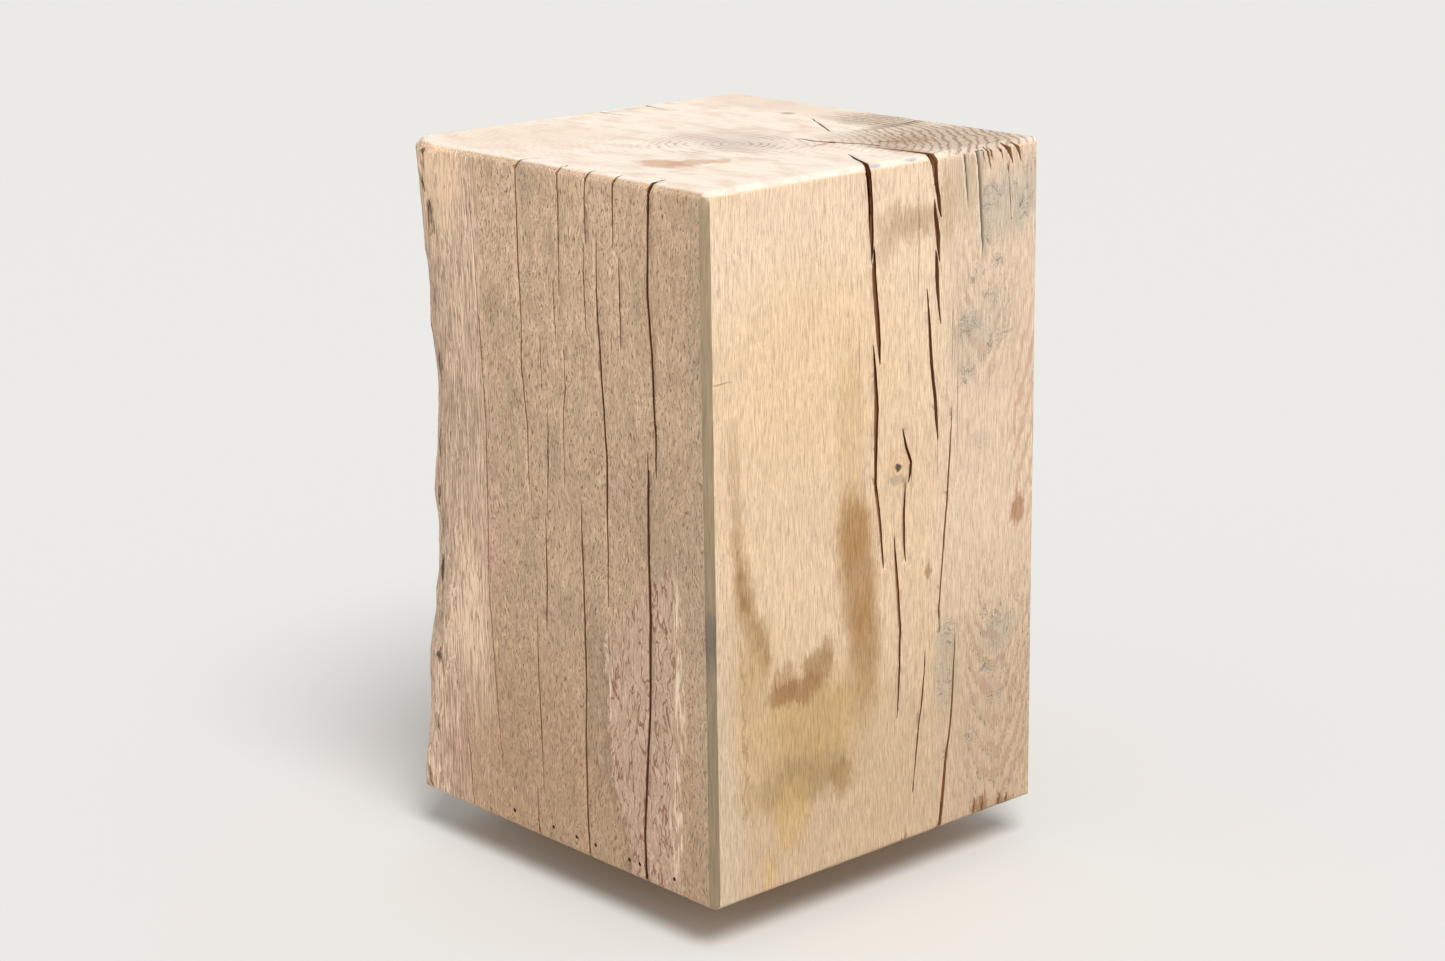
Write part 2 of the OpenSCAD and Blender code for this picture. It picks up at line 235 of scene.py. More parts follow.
# %% Sideways wander and hollows
WANDER = [(0.7 * MM, 45 * MM), (0.4 * MM, 13 * MM), (0.2 * MM, 5 * MM)]
HOLLOW = [(0.2 * MM, 38 * MM), (0.06 * MM, 9 * MM)]
LUMPS = [(1.4 * MM, 15 * MM), (1.0 * MM, 6 * MM)]
EDGE_FADE = 14 * MM
LUMP_STRETCH = 0.4
LUMP_ONSET = 3
NOISE_SEED = 1
noise.seed_set(NOISE_SEED)


def swell(place, waves):
    """The sum of noise waves of the given heights and lengths, above or below 0."""
    return sum(height * noise.noise(place / length) for height, length in waves)


def hollow(place):
    """How far the skin sinks at a place, 0 or more."""
    return swell(place, HOLLOW) + sum(height for height, length in HOLLOW)


def drift(place):
    """How far the grain carries a place sideways."""
    way = sum((noise.noise_vector(place / length) * height for height, length in WANDER), Vector())
    way.x *= rise((half_w - abs(place.x)) / EDGE_FADE)
    way.y *= rise((half_d - abs(place.y)) / EDGE_FADE)
    way.z = 0
    return way


def lumps(place):
    """How far the waney corner sinks at a place, or rises where this is below 0."""
    drawn_out = Vector((place.x, place.y, LUMP_STRETCH * place.z))
    return rise(LUMP_ONSET * wane_share(place)) * swell(drawn_out, LUMPS)


print("hollows in millimetres, up to:", round(2 * sum(height for height, length in HOLLOW) / MM, 2))

# %% [markdown]
# ## Torn steps
# High on the knotty face the wood has torn along the grain in two places. Each tear is a step: the wood drops
# along a line that runs down the face, and comes back to the face further on. The line is given by a few
# places on it, across the face and up it in millimetres, and the drop fades towards its lower end. A second
# attribute carries painted light: -1 for a painted highlight on the lip before the drop, and values up to 1
# for painted shade in the hollow behind it.
# The steps could be cut in the part itself, but they are as shallow as texture, so the skin is bent here.

# %% Steps in the knotty face
LIP = 1.8 * MM
STEP_LEAD = 0.4
STEP_FADE = 25
STEPS = [
    {"line": [(217.5, 452), (221, 425), (222.5, 412), (224.3, 400)], "drop": 0.9 * MM, "tail": 3.5 * MM},
    {"line": [(228, 452), (231.5, 437), (233.7, 410), (235.5, 385), (234.9, 364)], "drop": 2.0 * MM,
     "tail": 5 * MM},
]


def step_line(line, height):
    """The place across the face where a step's line runs at a height, both in metres."""
    for (low_u, low_h), (high_u, high_h) in zip(line[1:], line):
        if low_h * MM <= height <= high_h * MM:
            share = (height / MM - low_h) / (high_h - low_h)
            return (low_u + (high_u - low_u) * share) * MM
    return None


def torn(place):
    """How far the steps drop a place on the knotty face, and its painted light: -1 for a painted highlight
    on a lip, up to 1 for painted shade behind it.
    """
    height = place.z - FOOT_H
    drop = 0
    mark = 0
    for step in STEPS:
        edge = step_line(step["line"], height)
        if edge is None:
            continue
        past = place.y + half_d - edge
        fade = rise((height / MM - step["line"][-1][1]) / STEP_FADE)
        if past > -STEP_LEAD * MM:
            fall = fade * rise(past / MM + STEP_LEAD) * math.exp(-max(past, 0) / step["tail"])
            drop += step["drop"] * fall
            mark += fall
        elif past > -LIP:
            mark -= fade
    return drop, mark


print("torn steps:", len(STEPS))

# %% [markdown]
# The moves are worked out for every vertex first, from the places before any of them moves, and then made
# together. The walls and lips of the checks also draw back a little, as dry wood does, which opens the finest
# ones to a line that shows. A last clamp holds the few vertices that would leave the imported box.

# %% All the moves
SPREAD = 0.2 * MM
SPLIT_DEPTH = 0.05
FACE_BAND = 1 * MM


def on_split(vert):
    """Whether a vertex is on the wall or the lip of a check."""
    return any(edge.other_vert(vert)[depth_layer] > SPLIT_DEPTH for edge in vert.link_edges)


block.normal_update()
moves = []
for vert in block.verts:
    place = vert.co
    if place.z < FOOT_H - MERGE:
        continue
    fall = hollow(place)
    if not at_rim(place):
        fall += lumps(place)
    if on_split(vert):
        fall += SPREAD
    move = drift(place) - vert.normal * fall
    if place.x > half_w - FACE_BAND:
        # The step's painted highlight and shade go into the tear attribute.
        drop, vert[step_light_layer] = torn(place)
        move.x -= drop
    moves.append((vert, move))
for vert, move in moves:
    vert.co += move
    vert.co.x = min(max(vert.co.x, low.x), high.x)
    vert.co.y = min(max(vert.co.y, low.y), high.y)
    vert.co.z = min(vert.co.z, high.z)
furthest = max(move.length for vert, move in moves)
print("vertices moved:", len(moves), "furthest in millimetres:", round(furthest / MM, 2))

# %% [markdown]
# ## The finished piece
# The skin is shaded smooth, so the net doesn't show as facets, and edges that turn by more than the given
# angle stay sharp, so the mouths of the checks keep their crisp lips.

# %% The oak block
SHARP_ANGLE = math.radians(40)
oak_mesh = bpy.data.meshes.new("oak_block")
block.to_mesh(oak_mesh)
block.free()
oak_mesh.shade_smooth()
oak_mesh.set_sharp_from_angle(angle=SHARP_ANGLE)
oak_block = bpy.data.objects.new("oak_block", oak_mesh)
bpy.context.scene.collection.objects.link(oak_block)
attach(oak_block, "root")
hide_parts("wood_block")
print("oak block:", sum(len(face.vertices) - 2 for face in oak_mesh.polygons), "triangles")

# %% [markdown]
# ## A small kit for painting with nodes
# The finish is one long sum of noise, masks and colours, which is easier to read as Python than as a drawing
# of nodes. `Tone` wraps a socket, so that `1 - mask` or `a * b` adds the Math node itself, and `Finish.node`
# adds any other node: first its settings, then the values or links of its sockets.

# %% Tone and Finish


class Tone:
    """A socket of a finish. Arithmetic on it adds Math nodes."""

    def __init__(self, finish, socket):
        self.finish = finish
        self.socket = socket

    def math(self, operation, first, second):
        return self.finish.node("ShaderNodeMath", {"operation": operation}, {0: first, 1: second})

    def __add__(self, other):
        return self.math("ADD", self, other)

    def __sub__(self, other):
        return self.math("SUBTRACT", self, other)

    def __rsub__(self, other):
        return self.math("SUBTRACT", other, self)

    def __mul__(self, other):
        return self.math("MULTIPLY", self, other)

    def __truediv__(self, other):
        return self.math("DIVIDE", self, other)

    __radd__ = __add__
    __rmul__ = __mul__


class Finish:
    """A material and one way to add any node to it."""

    def __init__(self, name):
        self.material = bpy.data.materials.new(name)
        self.material.use_nodes = True
        self.tree = self.material.node_tree
        self.shader = self.tree.nodes["Principled BSDF"]

    def feed(self, socket, value):
        if isinstance(value, Tone):
            self.tree.links.new(value.socket, socket)
        else:
            socket.default_value = value

    def node(self, kind, settings, sockets, output=0):
        made = self.tree.nodes.new(kind)
        for name, value in settings.items():
            setattr(made, name, value)
        for name, value in sockets.items():
            self.feed(made.inputs[name], value)
        return Tone(self, made.outputs[output])

    def vector(self, operation, first, second, output="Vector"):
        return self.node("ShaderNodeVectorMath", {"operation": operation}, {0: first, 1: second}, output)

    def blend(self, under, over, mask):
        """The colour `under`, turned to `over` by as much as the mask says."""
        return self.node("ShaderNodeMix", {"data_type": "RGBA"}, {0: mask, 6: under, 7: over}, 2)

    def lit(self, colour, factor):
        """The colour made lighter by a factor above 1, or darker by one below it."""
        return self.node("ShaderNodeVectorMath", {"operation": "SCALE"}, {0: colour, "Scale": factor})

    def ease(self, value, start, end):
        """0 before start, 1 past end, and a smooth rise between them. They may run downwards."""
        return self.node(
            "ShaderNodeMapRange", {"interpolation_type": "SMOOTHSTEP"},
            {"Value": value, "From Min": start, "From Max": end})

    def noise(self, vector, detail=2.0, roughness=0.5):
        return self.node(
            "ShaderNodeTexNoise", {},
            {"Vector": vector, "Scale": 1.0, "Detail": detail, "Roughness": roughness})

    def sine(self, value):
        return self.node("ShaderNodeMath", {"operation": "SINE"}, {0: value})

    def either(self, first, second):
        return self.node("ShaderNodeMath", {"operation": "MAXIMUM"}, {0: first, 1: second})

    def line(self, value, width):
        """Thin wavy lines where a noise crosses its middle value."""
        apart = self.node("ShaderNodeMath", {"operation": "ABSOLUTE"}, {0: value - 0.5})
        return self.ease(apart, width, width * 0.3)


def seen(red, green, blue):
    """A colour as a picture shows it, 0 to 255, in the linear values that shaders use."""
    return tuple(((level / 255 + 0.055) / 1.055) ** 2.4 for level in (red, green, blue)) + (1.0,)


oak = Finish("oak")
oak_mesh.materials.append(oak.material)
print("finish:", oak.material.name)

# %% [markdown]
# ## Grain
# All grain starts from Object coordinates, turned to millimetres. A slow noise bends them first, so that the
# grain wanders as it does in a tree, and a quicker one curls them. Each texture is then plain noise on
# stretched coordinates: a pore is under a millimetre across and a few long, a fibre is longer, and a streak
# runs for a finger's length. The masks for dark and pale marks are ranges of these textures. Pictures of
# wood would be quicker, but they repeat, and they don't turn from long grain to end grain at an arris.

# %% Bent coordinates and grain textures
WANDER_BEND = (40, 60, (20, 20, 12))
CURL_BEND = (12, 22, (6, 6, 4))
STRAIGHT_BEND = (40, 60, (6, 6, 6))
object_place = oak.node("ShaderNodeTexCoord", {}, {}, "Object")
point = oak.vector("MULTIPLY", object_place, (1 / MM, 1 / MM, 1 / MM))


def bend(run, across, along, reach):
    """The coordinates, carried off as far as the reach says by noise of the given sizes."""
    stretched = oak.vector("MULTIPLY", run, (1 / across, 1 / across, 1 / along))
    wind = oak.node("ShaderNodeTexNoise", {}, {"Vector": stretched, "Scale": 1.0, "Detail": 2.0}, "Color")
    return oak.node("ShaderNodeVectorMath", {"operation": "MULTIPLY_ADD"}, {0: wind, 1: reach, 2: run})


def grain(run, across, along, detail=2.0, roughness=0.5):
    """Noise 0 to 1 on bent or straight grain, with features of the given sizes across and along it."""
    return oak.noise(oak.vector("MULTIPLY", run, (1 / across, 1 / across, 1 / along)), detail, roughness)


def part(vector, axis):
    """One of the three numbers of a vector."""
    return oak.node("ShaderNodeSeparateXYZ", {}, {0: vector}, axis)


bent = bend(bend(point, *WANDER_BEND), *CURL_BEND)
straight = bend(point, *STRAIGHT_BEND)
x = part(point, "X")
y = part(point, "Y")
z = part(point, "Z")
pores = grain(bent, 0.75, 4.5)
flecks = grain(bent, 1.0, 8)
mottle = grain(bent, 5, 11)
rosy = grain(bent, 14, 40)
fibres = grain(straight, 0.55, 11)
streaks = grain(straight, 1.1, 30)
bands = grain(straight, 9, 170, detail=3.0)
clouds = grain(bent, 36, 60, detail=3.0)
dark_pores = oak.ease(pores, 0.54, 0.67)
pale_flecks = oak.ease(flecks, 0.5, 0.66)
dark_streaks = oak.ease(streaks, 0.48, 0.36)
pale_streaks = oak.ease(streaks, 0.52, 0.66)
cream_streaks = oak.ease(streaks, 0.45, 0.57)
dark_fibres = oak.ease(fibres, 0.43, 0.33)
print("nodes in the grain:", len(oak.tree.nodes))

# %% [markdown]
# ## Faces
# A stain sits at a place on a face, so each face gets its own flat coordinates: across from the left-hand
# arris and up from the underside, in millimetres, a little warped so that no stain has a drawn outline, and
# feathered along the grain. A face mask is 1 on the face and fades out behind its arrises. The checked face
# takes in the waney corner. The end grain reaches over the arris of the knotty face, and stops short of the
# others.

# %% Face coordinates and masks
WIDTH = 2 * half_w / MM
DEPTH = 2 * half_d / MM
TOP = top_z / MM
UNDER = FOOT_H / MM
WARP = 10
WARP_UP = 26
FEATHER = 16
SIDE_FADE = (5, 2)
TOP_FADE = (4.2, 2.5)
TOP_TRIM = 2
CORNER_FADE = (80, 40)
CORNER_DEEP = 24
mirrored = oak.vector("MULTIPLY", point, (1 / 8, -1 / 8, 1 / 12))
warp = grain(point, 9, 14, 3.0, 0.6) * WARP - WARP / 2
warp_up = oak.noise(mirrored, 3.0, 0.65) * WARP_UP - WARP_UP / 2
feather = (streaks - 0.5) * FEATHER
across_checked = x + WIDTH / 2
across_knotty = y + DEPTH / 2
height = z - UNDER
wavy_checked = across_checked + warp
wavy_knotty = across_knotty + warp
wavy_height = height + warp_up


def flat(across, up):
    """The coordinates of a place on a face."""
    return oak.node("ShaderNodeCombineXYZ", {}, {0: across, 1: up})


checked_place = flat(wavy_checked, wavy_height + feather)
knotty_place = flat(wavy_knotty, wavy_height + feather)
top_place = flat(wavy_checked, wavy_knotty)
on_checked = oak.ease(across_knotty - oak.ease(across_checked, *CORNER_FADE) * CORNER_DEEP, *SIDE_FADE)
on_knotty = oak.ease(WIDTH - across_checked, *SIDE_FADE)
on_top = oak.ease(TOP - z + (1 - on_knotty) * TOP_TRIM, *TOP_FADE)
print("faces in millimetres:", round(WIDTH), "and", round(DEPTH), "wide,", round(TOP - UNDER), "high")

# %% [markdown]
# ## Coats and stains
# The finish is laid on like thin coats of paint, each one a tint and a mask that says where it goes and how
# strongly. A stain is a coat whose mask is a soft patch at a place on a face, so a list of stains is a table
# of places, reaches, tints and strengths.

# %% Coats and stains


def coats(colour, layers):
    """The colour with coats laid over it in turn, each a tint and a mask."""
    for tint, mask in layers:
        colour = oak.blend(colour, seen(*tint), mask)
    return colour


def spot(face, at, reach, soft=0.5):
    """A patch on a face: 1 in its middle, 0 past its reach, and soft round its edge."""
    offset = oak.vector("SUBTRACT", face, (*at, 0))
    share = oak.vector("DIVIDE", offset, (*reach, 1))
    radius = oak.vector("LENGTH", share, (0, 0, 0), "Value")
    return oak.ease(radius, 1 + soft, 1 - soft)


def spots(face, patches, soft=0.5):
    """One mask for a list of patches: 1 in the middle of any of them."""
    mask = spot(face, *patches[0], soft)
    for at, reach in patches[1:]:
        mask = oak.either(mask, spot(face, at, reach, soft))
    return mask


def stain(colour, face, stains, soft=0.5):
    """The colour with each stain of a list laid over it: place, reach, tint and strength."""
    for at, reach, tint, strength in stains:
        colour = coats(colour, [(tint, spot(face, at, reach, soft) * strength)])
    return colour


print("nodes before the first coat:", len(oak.tree.nodes))

# %% [markdown]
# ## Bare oak
# Under every stain lies the same wood: a tan body with long soft bands along the trunk, fine fibres and open
# pores. Blender's Wave texture can draw such bands too, but they come out too even, so they are stretched
# noise. The back faces show this alone, because the photo doesn't show them.

# %% Body of the wood
body = coats(seen(198, 168, 136), [
    ((226, 196, 163), oak.ease(bands, 0.36, 0.62)),
    ((186, 161, 132), oak.ease(clouds, 0.5, 0.66) * 0.35),
    ((214, 178, 148), oak.ease(rosy, 0.5, 0.66) * 0.4),
])
colour = oak.lit(body, 1 + (fibres - 0.5) * 1.1 + (streaks - 0.5) * 0.7 + (mottle - 0.5) * 0.35)
colour = coats(colour, [((120, 88, 62), oak.either(dark_pores * 0.5, dark_fibres * 0.45))])
print("nodes with the bare oak:", len(oak.tree.nodes))

# %% [markdown]
# ## The checked face
# This face looks to -Y. It is lighter towards the top and greyer than the rest, with close dark pores. The
# grain makes the stained wood lighter or darker. Laid on as a colour of its own, it would cover the stains.

# %% Checked face
PINK = (214, 174, 152)
CHECKED_STAINS = [
    ((86, 200), (14, 34), PINK, 0.55),
    ((190, 115), (11, 72), (170, 148, 120), 0.6),
    ((250, 250), (36, 44), (190, 164, 134), 0.5),
    ((270, 400), (28, 62), (204, 170, 136), 0.5),
    ((291, 250), (9, 240), (194, 170, 142), 0.6),
    ((270, 30), (32, 40), (186, 160, 132), 0.5),
    ((120, 55), (60, 60), (190, 155, 122), 0.4),
]
checked = coats(seen(196, 163, 132), [
    ((207, 177, 147), oak.ease(wavy_height, 30, 200)),
    ((222, 190, 158), oak.ease(wavy_height, 220, 420)),
    ((188, 164, 136), oak.ease(clouds, 0.46, 0.66) * 0.5),
    ((206, 170, 140), oak.ease(rosy, 0.5, 0.66) * 0.35),
    ((178, 156, 128), oak.ease(rosy, 0.46, 0.34) * 0.4),
])
checked = stain(checked, checked_place, CHECKED_STAINS)
print("stains on the checked face:", len(CHECKED_STAINS))

# %% [markdown]
# Low on this face is a lobed pinkish patch, where the saw met wood of another year. Its left-hand and upper
# boundaries are sharp and wavy, so they are made from one edge each, warped by noise, with red-brown curls
# inside. To its right, and along its left-hand edge, the saw has torn up cream fibres.

# %% Lobed patch
TORN_UP = [((270, 150), (5, 62)), ((266, 50), (6, 44)), ((203, 128), (2.5, 30))]
left_edge = across_checked + warp * 2.5 - oak.ease(height, 70, 20) * 18
upper_edge = height - across_checked + warp_up * 0.8
under_edge = oak.ease(upper_edge, -41, -48)
lobe = oak.ease(left_edge, 199, 203) * under_edge * oak.ease(across_checked + warp * 1.5, 274, 262)
outline = oak.ease(left_edge, 193, 199) * oak.ease(left_edge, 205, 200) * under_edge
curls = oak.line(grain(bent, 6, 26), 0.035) * oak.ease(mottle, 0.34, 0.5)
torn_up = spots(checked_place, TORN_UP) * cream_streaks * oak.ease(mottle, 0.36, 0.56)
checked = coats(checked, [
    ((150, 128, 102), outline * 0.5),
    ((209, 178, 155), lobe * (0.45 + rosy * 0.6)),
])
checked = oak.lit(checked, 1.02 + (mottle - 0.5) * 0.55 + pale_flecks * 0.3 + (fibres - 0.5) * 0.6)
checked = coats(checked, [
    ((112, 80, 56), dark_pores * (0.4 + mottle * 0.7) * (1 - lobe * 0.45)),
    ((136, 84, 58), curls * (0.16 + lobe * 0.6)),
    ((255, 230, 198), torn_up),
])
print("patches of torn fibres:", len(TORN_UP))

# %% [markdown]
# Along the waney corner runs the sapwood, the last wood that the tree grew. It is paler, drawn with thin dark
# lines, streaked with cream where the wane begins, and pink low down. On the crown, where the rounding faces
# up, a painted highlight lightens it, streaks it with cream and thins the dark lines. It could be a material
# of its own, but a soft mask lets it fade into the heartwood.

# %% Sapwood
SAPWOOD_STAINS_AND_HIGHLIGHT = [
    # The first entry is no stain: it is a painted highlight on the rounded crown.
    ((38, 428), (26, 34), (255, 218, 178), 0.9),
    ((58, 360), (16, 30), (230, 200, 172), 0.5),
    ((60, 250), (20, 50), (202, 175, 150), 0.6),
    ((56, 145), (18, 52), (248, 217, 186), 0.85),
    ((60, 60), (16, 40), (216, 180, 154), 0.6),
    ((42, 30), (14, 44), (206, 166, 146), 0.7),
    ((84, 200), (11, 30), PINK, 0.5),
]
# The crown patch is where the painted highlight falls on the rounded crown.
CROWN_HIGHLIGHT = ((36, 424), (24, 34))
CREAM_PATCHES = [((56, 150), (12, 42)), ((40, 130), (9, 26))]
sapwood = coats(seen(214, 185, 159), [((230, 200, 173), oak.ease(clouds, 0.4, 0.6))])
sapwood = stain(sapwood, checked_place, SAPWOOD_STAINS_AND_HIGHLIGHT)
sapwood = oak.lit(sapwood, 1.06 + pale_streaks * 0.3 + (fibres - 0.5) * 1.7)
crown_highlight = spot(checked_place, *CROWN_HIGHLIGHT)
sap_lines = oak.line(grain(straight, 3, 80), 0.03) * oak.ease(mottle, 0.38, 0.5)
sap_darks = oak.either(oak.either(dark_streaks * 0.45, dark_fibres * 0.7), sap_lines * 0.7)
cream_and_crown_highlight = oak.either(crown_highlight, spots(checked_place, CREAM_PATCHES))
# The dark lines are thinned under the crown's painted highlight. The cream coat is painted highlight on the
# crown, and cream fibres lower down.
sapwood = coats(sapwood, [
    ((124, 94, 70), sap_darks * (1 - crown_highlight * 0.6)),
    ((255, 223, 191), cream_and_crown_highlight * oak.ease(streaks, 0.46, 0.55) * 0.9),
])
sap_edge = oak.ease(across_checked + warp * 0.4, 86, 76) * oak.ease(wavy_height, 0, 130)
checked = oak.blend(checked, sapwood, oak.either(sap_edge, oak.ease(wavy_checked, 66, 40)) * 0.9)
colour = oak.blend(colour, checked, on_checked)
print("stains on the sapwood:", len(SAPWOOD_STAINS_AND_HIGHLIGHT))

# %% [markdown]
# ## Stains on the knotty face
# Water has stained this face. Most stains are soft. One ran down along the left-hand side in a long drip with
# darker cores, and a few dried with a crisp, ragged edge. They could be brushed on by hand as a picture, but
# a table of soft patches needs no picture and is easy to change.

# %% Stains on the knotty face
BROWN = (156, 114, 62)
UMBER = (148, 104, 58)
RUST = (140, 96, 60)
SOFT_STAINS_AND_SHADE = [
    ((85, 335), (75, 60), (236, 203, 163), 0.6),
    ((118, 290), (12, 50), (212, 176, 130), 0.5),
    ((30, 140), (18, 60), (206, 176, 138), 0.5),
    ((119, 222), (14, 28), (176, 136, 84), 0.75),
    ((125, 190), (15, 46), (166, 124, 74), 0.7),
    ((131, 140), (13, 44), (166, 124, 76), 0.7),
    ((84, 100), (50, 34), (192, 156, 104), 0.8),
    ((40, 110), (16, 60), (206, 176, 134), 0.6),
    ((75, 66), (42, 15), (160, 130, 88), 0.65),
    ((110, 62), (10, 13), (150, 112, 56), 0.75),
    ((66, 46), (15, 22), (204, 166, 106), 0.6),
    ((47, 12), (5, 14), (210, 172, 112), 0.5),
    ((150, 60), (40, 50), (204, 176, 142), 0.5),
    ((170, 410), (26, 10), (182, 148, 112), 0.6),
    ((150, 395), (8, 9), (190, 156, 120), 0.4),
    # The grey patches at (262, 410), (224, 326), (248, 344), (204, 112) and (254, 126) are no stains: they
    # are painted shade over the torn grain, beside the steps and the tears.
    ((262, 410), (26, 22), (190, 180, 162), 0.6),
    ((222, 425), (14, 22), (194, 172, 140), 0.5),
    ((204, 415), (6, 26), (190, 164, 126), 0.5),
    ((224, 326), (16, 20), (200, 184, 162), 0.5),
    ((248, 344), (16, 12), (196, 182, 162), 0.4),
    ((204, 112), (10, 30), (180, 164, 140), 0.5),
    ((254, 126), (16, 14), (184, 170, 150), 0.5),
]
DRIP_STAINS = [
    ((33, 150), (10, 26), (190, 156, 108), 0.45),
    ((21, 285), (4, 24), BROWN, 0.3),
    ((23, 240), (5, 26), BROWN, 0.4),
    ((26, 208), (6.5, 19), BROWN, 0.55),
    ((31, 188), (7, 13), BROWN, 0.5),
    ((38, 172), (7, 12), BROWN, 0.45),
    ((44, 156), (5, 15), BROWN, 0.4),
    ((26, 211), (3.2, 8), UMBER, 0.5),
    ((29, 193), (3.6, 7), UMBER, 0.45),
    ((47, 160), (1.6, 15), UMBER, 0.4),
]
CRISP_STAINS = [
    ((27, 107), (1.2, 55), BROWN, 0.4),
    ((70, 127), (24, 8), UMBER, 0.65),
    ((62, 136), (9, 12), UMBER, 0.45),
    ((88, 140), (13, 11), UMBER, 0.6),
    ((99, 150), (5, 9), UMBER, 0.45),
    ((271, 206), (5, 12), (160, 104, 64), 0.7),
    ((186, 180), (2.5, 7), BROWN, 0.6),
    ((238, 5), (8, 7), RUST, 0.7),
    ((260, 3), (7, 5), RUST, 0.7),
    ((169, 1), (5, 2), RUST, 0.6),
]
print("stains on the knotty face:", len(SOFT_STAINS_AND_SHADE), "soft,", len(DRIP_STAINS), "in the drip,",
      len(CRISP_STAINS), "crisp")

# %% [markdown]
# ## The knotty face
# This face looks to +X. It is warm cream with a fine upright grain, lighter towards the top and rosier along
# its far side. Over the stains go the fibres, a few hairline splits, and one level scratch by the front
# arris.

# %% Knotty face
HAIRLINES = [
    ((178, 398), (0.45, 40)), ((209, 338), (0.4, 24)), ((214, 300), (0.45, 36)), ((196, 262), (0.4, 20)),
    ((172, 248), (0.35, 16)), ((126, 330), (0.35, 26)),
]
SCRATCH = ((11, 334), (8, 0.5))
far_side = oak.ease(wavy_knotty, 186, 214)
near_foot = oak.ease(wavy_knotty, 34, 12) * oak.ease(wavy_height, 230, 120)
far_wood = coats(seen(200, 174, 145), [((226, 200, 174), oak.ease(wavy_height, 60, 230))])
knotty = coats(seen(204, 176, 144), [
    ((228, 198, 164), oak.ease(wavy_height, 30, 210)),
    ((240, 212, 181), oak.ease(wavy_height, 230, 420)),
    ((209, 188, 161), near_foot * 0.7),
])
knotty = oak.blend(knotty, far_wood, far_side * 0.85)
knotty = stain(knotty, knotty_place, SOFT_STAINS_AND_SHADE)
knotty = stain(knotty, knotty_place, DRIP_STAINS, soft=0.55)
ragged_place = flat(across_knotty + warp * 1.8, height + warp_up * 0.8 + feather)
knotty = stain(knotty, ragged_place, CRISP_STAINS, soft=0.3)
knotty = oak.lit(knotty, 1.03 + (fibres - 0.5) * 1.15 + (streaks - 0.5) * 0.35 + (mottle - 0.5) * 0.15)
hair_place = flat(across_knotty + warp * 0.25, height + feather)
scratch_place = flat(across_knotty, height + warp * 0.2)
knotty = coats(knotty, [
    ((150, 112, 78), oak.either(dark_pores * 0.2, dark_fibres * 0.22)),
    ((122, 88, 58), spots(hair_place, HAIRLINES) * 0.6),
    ((122, 96, 70), spot(scratch_place, *SCRATCH) * 0.5),
])
print("hairline splits:", len(HAIRLINES))

# %% [markdown]
# The far side was sawn almost along the rings, so they show as nested arcs low down and as slanting bands
# higher up. A sine of a bent height gives the arcs, with chains of open pores between them, and a sine across
# the slant gives the bands.

# %% Figure
ARC_TURN = 0.32
CHAIN_SHIFT = 1.5
SLANT_TURN = 0.7
SLANT = (0.943, 0.33)


def nested(middle, bow):
    """The phase of nested arcs that hang about a middle line, and bow up away from it."""
    from_middle = across_knotty + warp * 0.6 - middle
    return (height - from_middle * from_middle * bow + warp_up * 1.2) * ARC_TURN


def crest(phase, start):
    """Where the sine of a phase is near its crest."""
    return oak.ease(oak.sine(phase), start, 1.0)


low_figure = oak.ease(wavy_knotty, 212, 232) * oak.ease(height, 190, 140)
high_figure = spot(knotty_place, (240, 345), (30, 44)) * 0.7
low_arcs = nested(250, 0.055)
high_arcs = nested(236, 0.09)
arcs = crest(low_arcs, 0.1) * low_figure + crest(high_arcs, 0.1) * high_figure
low_chains = crest(low_arcs + CHAIN_SHIFT, 0.7) * low_figure
chains = low_chains + crest(high_arcs + CHAIN_SHIFT, 0.7) * high_figure
across_slant = across_knotty * SLANT[0] - height * SLANT[1] + warp * 1.2
slants = crest(across_slant * SLANT_TURN, 0.0) * spot(knotty_place, (279, 265), (17, 75))
knotty = coats(knotty, [
    ((184, 148, 124), arcs * oak.ease(clouds, 0.34, 0.54) * 0.7),
    ((116, 112, 102), chains * oak.ease(pores, 0.48, 0.6) * 0.7),
    ((200, 158, 132), slants * 0.6),
])
print("millimetres from arc to arc:", round(2 * math.pi / ARC_TURN, 1))

# %% [markdown]
# The saw has also left short level tears there. Their dark grey lines are painted shadow in the small torn
# pits, and each group lies in a painted grey haze of shade. Their groups are listed one by one, and the tears
# in them are thin wavy lines, where a noise that is stretched across the grain crosses its middle value. The
# two torn steps get a painted highlight on their lips and painted shade in their hollows from the attribute.

# %% Tears and steps
TEAR_GROUPS = [
    ((280, 428), (6, 11)), ((275, 408), (8, 7)), ((245, 417), (9, 6)), ((260, 422), (9, 3)),
    ((238, 411), (5, 7)), ((240, 394), (6, 7)), ((250, 375), (6, 4)), ((232, 369), (6, 4)),
    ((243, 354), (6, 4)), ((224, 337), (11, 7)), ((244, 327), (9, 6)), ((258, 329), (7, 4)),
    ((222, 306), (6, 6)), ((235, 260), (7, 4)), ((205, 134), (9, 10)), ((202, 100), (8, 16)),
    ((255, 131), (12, 6)), ((258, 118), (8, 5)), ((246, 100), (10, 6)), ((259, 97), (6, 4)),
    ((250, 82), (9, 8)), ((228, 57), (7, 4)),
]
TEAR_LENGTH = 19
TEAR_GAP = 3.0
level_run = flat(wavy_knotty / TEAR_LENGTH, (height + warp_up * 0.8) / TEAR_GAP)
tear_shadow_lines = oak.line(oak.noise(level_run, 0.0, 0.5), 0.07) * oak.ease(mottle, 0.36, 0.54)
tear_shade_zone = spots(knotty_place, TEAR_GROUPS, soft=0.6)
step_light_and_shade = oak.node("ShaderNodeAttribute", {"attribute_name": "tear"}, {}, "Fac")
